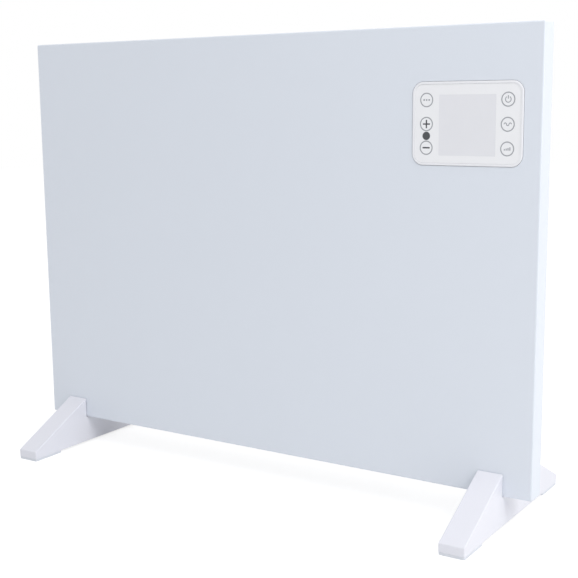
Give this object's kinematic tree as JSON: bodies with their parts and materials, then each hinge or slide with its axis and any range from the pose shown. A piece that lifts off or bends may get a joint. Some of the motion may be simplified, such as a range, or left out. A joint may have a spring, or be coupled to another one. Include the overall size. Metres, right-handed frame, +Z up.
{
  "type": "wall panel convector heater",
  "caption": "White panel convector heater on two wedge feet, with a touch display module at the upper right; folded steel front, ventilated rear cover and finned element inside.",
  "frame": {"origin": "on the floor, below the middle of the heater's outline", "axes": "+X to the right of someone facing the front, +Y from the front to the back, +Z up"},
  "size_m": [0.6, 0.23, 0.46],
  "materials": {
    "panel_enamel": "satin powder coat, white",
    "cover_enamel": "satin powder coat, white",
    "foot_plastic": "moulded, fine satin",
    "grille_plastic": "moulded, satin",
    "housing_plastic": "moulded, satin",
    "bezel_plastic": "moulded, semi-gloss",
    "touch_lens": "polished, printed behind",
    "display_glass": "polished",
    "circuit_board": "green solder mask",
    "zinc_plate": "zinc plated",
    "screw_zinc": "zinc plated",
    "element_aluminium": "mill finish",
    "element_steel": "drawn tube",
    "ceramic": "fired, unglazed",
    "terminal_plastic": "moulded",
    "black_nylon": "moulded",
    "rocker_plastic": "moulded, gloss",
    "pad_rubber": "moulded elastomer, pale grey",
    "lead_white": "silicone sleeve",
    "lead_brown": "silicone sleeve"
  },
  "bodies": {
    "heater": {"front_panel": "panel_enamel", "rear_cover": "cover_enamel", "air_outlet_grille": "grille_plastic", "air_inlet_grille": "grille_plastic", "heat_shield": "zinc_plate", "heating_element": "element_aluminium", "element_rod": "element_steel", "element_bush_left": "ceramic", "element_bush_right": "ceramic", "thermal_cutout": "black_nylon", "control_bezel": "bezel_plastic", "touch_lens": "touch_lens", "lcd_display": "display_glass", "display_board": "circuit_board", "control_housing": "housing_plastic", "board_tray": "black_nylon", "power_board": "circuit_board", "relay": "black_nylon", "terminal_block": "terminal_plastic", "rocker_switch_body": "black_nylon", "tilt_switch_case": "housing_plastic", "tilt_switch_pin": "zinc_plate", "cord_gland": "black_nylon", "room_sensor": "black_nylon", "element_lead_left": "lead_white", "element_lead_right": "lead_brown", "switch_lead": "lead_brown", "display_cable": "lead_white", "cover_screw_1": "screw_zinc", "cover_screw_2": "screw_zinc", "cover_screw_3": "screw_zinc", "cover_screw_4": "screw_zinc", "cover_screw_5": "screw_zinc", "cover_screw_6": "screw_zinc", "cover_screw_7": "screw_zinc", "cover_screw_8": "screw_zinc", "foot_left": "foot_plastic", "foot_pad_left_front": "pad_rubber", "foot_screw_left_front": "screw_zinc", "foot_pad_left_rear": "pad_rubber", "foot_screw_left_rear": "screw_zinc", "foot_right": "foot_plastic", "foot_pad_right_front": "pad_rubber", "foot_screw_right_front": "screw_zinc", "foot_pad_right_rear": "pad_rubber", "foot_screw_right_rear": "screw_zinc"},
    "rocker": {"rocker_switch_key": "rocker_plastic"},
    "pendulum": {"tilt_switch_pendulum": "zinc_plate"}
  },
  "joints": [
    {"name": "mains_rocker", "type": "hinge", "parent": "heater", "child": "rocker", "pos_m": [0.2721, 0.00855, 0.106], "axis": [0, 1, 0], "range_deg": [0, 20]},
    {"name": "tilt_pendulum", "type": "hinge", "parent": "heater", "child": "pendulum", "pos_m": [0.1994, 0.0149, 0.09], "axis": [1, 0, 0], "range_deg": [-20, 20]}
  ]
}
